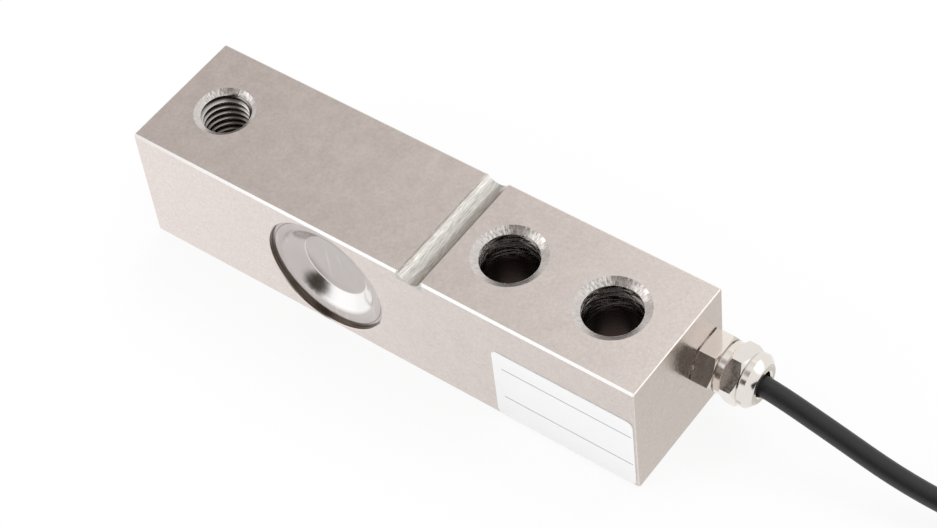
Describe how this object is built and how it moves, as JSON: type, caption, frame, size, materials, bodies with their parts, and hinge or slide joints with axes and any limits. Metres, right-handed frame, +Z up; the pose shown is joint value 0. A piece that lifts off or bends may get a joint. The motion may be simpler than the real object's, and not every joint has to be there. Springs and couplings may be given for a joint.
{
  "type": "cantilever beam load cell",
  "caption": "Square steel shear beam load cell with a tapped load hole, countersunk mounting holes, a relief groove, dished sealing cups and a black cable from a plated gland.",
  "frame": {"origin": "on the underside, midway between the two mounting holes", "axes": "+X along the beam from the load end to the cable end, +Z up out of the grooved mounting face, +Y towards the side that the gland is set off to"},
  "size_m": [0.333, 0.0416, 0.0318],
  "materials": {
    "beam_steel": "satin nickel plating over fine milling marks",
    "cup_steel": "smooth pressed stainless steel",
    "gland_metal": "bright nickel plating",
    "label_foil": "smooth white polyester foil",
    "gauge_film": "amber polyimide film",
    "gauge_metal": "etched resistance foil",
    "gauge_coat": "milky silicone",
    "board": "glass fibre board",
    "pads": "gold flash",
    "resistors": "dull black",
    "jumper_wire": "enamelled copper",
    "red_core": "smooth",
    "black_core": "smooth",
    "green_core": "smooth",
    "white_core": "smooth",
    "tinned_copper": "tinned",
    "seal_rubber": "matt",
    "washer_metal": "plain",
    "cable_jacket": "satin black",
    "tie_plastic": "moulded",
    "sleeve_plastic": "shrunk on"
  },
  "bodies": {
    "root": {"beam": "beam_steel", "front_cup": "cup_steel", "rear_cup": "cup_steel", "gland_body": "gland_metal", "gland_nut": "gland_metal", "rating_label": "label_foil", "front_gauge_backing": "gauge_film", "rear_gauge_backing": "gauge_film", "front_gauge_foil": "gauge_metal", "rear_gauge_foil": "gauge_metal", "front_gauge_coat": "gauge_coat", "rear_gauge_coat": "gauge_coat", "terminal_board": "board", "terminal_pads": "pads", "bridge_resistors": "resistors", "front_gauge_wires": "jumper_wire", "rear_gauge_wires": "jumper_wire", "core_red": "red_core", "lead_red": "red_core", "core_black": "black_core", "lead_black": "black_core", "core_green": "green_core", "lead_green": "green_core", "core_white": "white_core", "lead_white": "white_core", "lead_screen": "tinned_copper", "tinned_tips": "tinned_copper", "gland_seal": "seal_rubber", "gland_o_ring": "seal_rubber", "gland_washer": "washer_metal", "cable_in_gland": "cable_jacket", "cable": "cable_jacket", "cable_hank": "cable_jacket", "cable_tie": "tie_plastic", "end_sleeve": "sleeve_plastic"}
  },
  "joints": []
}
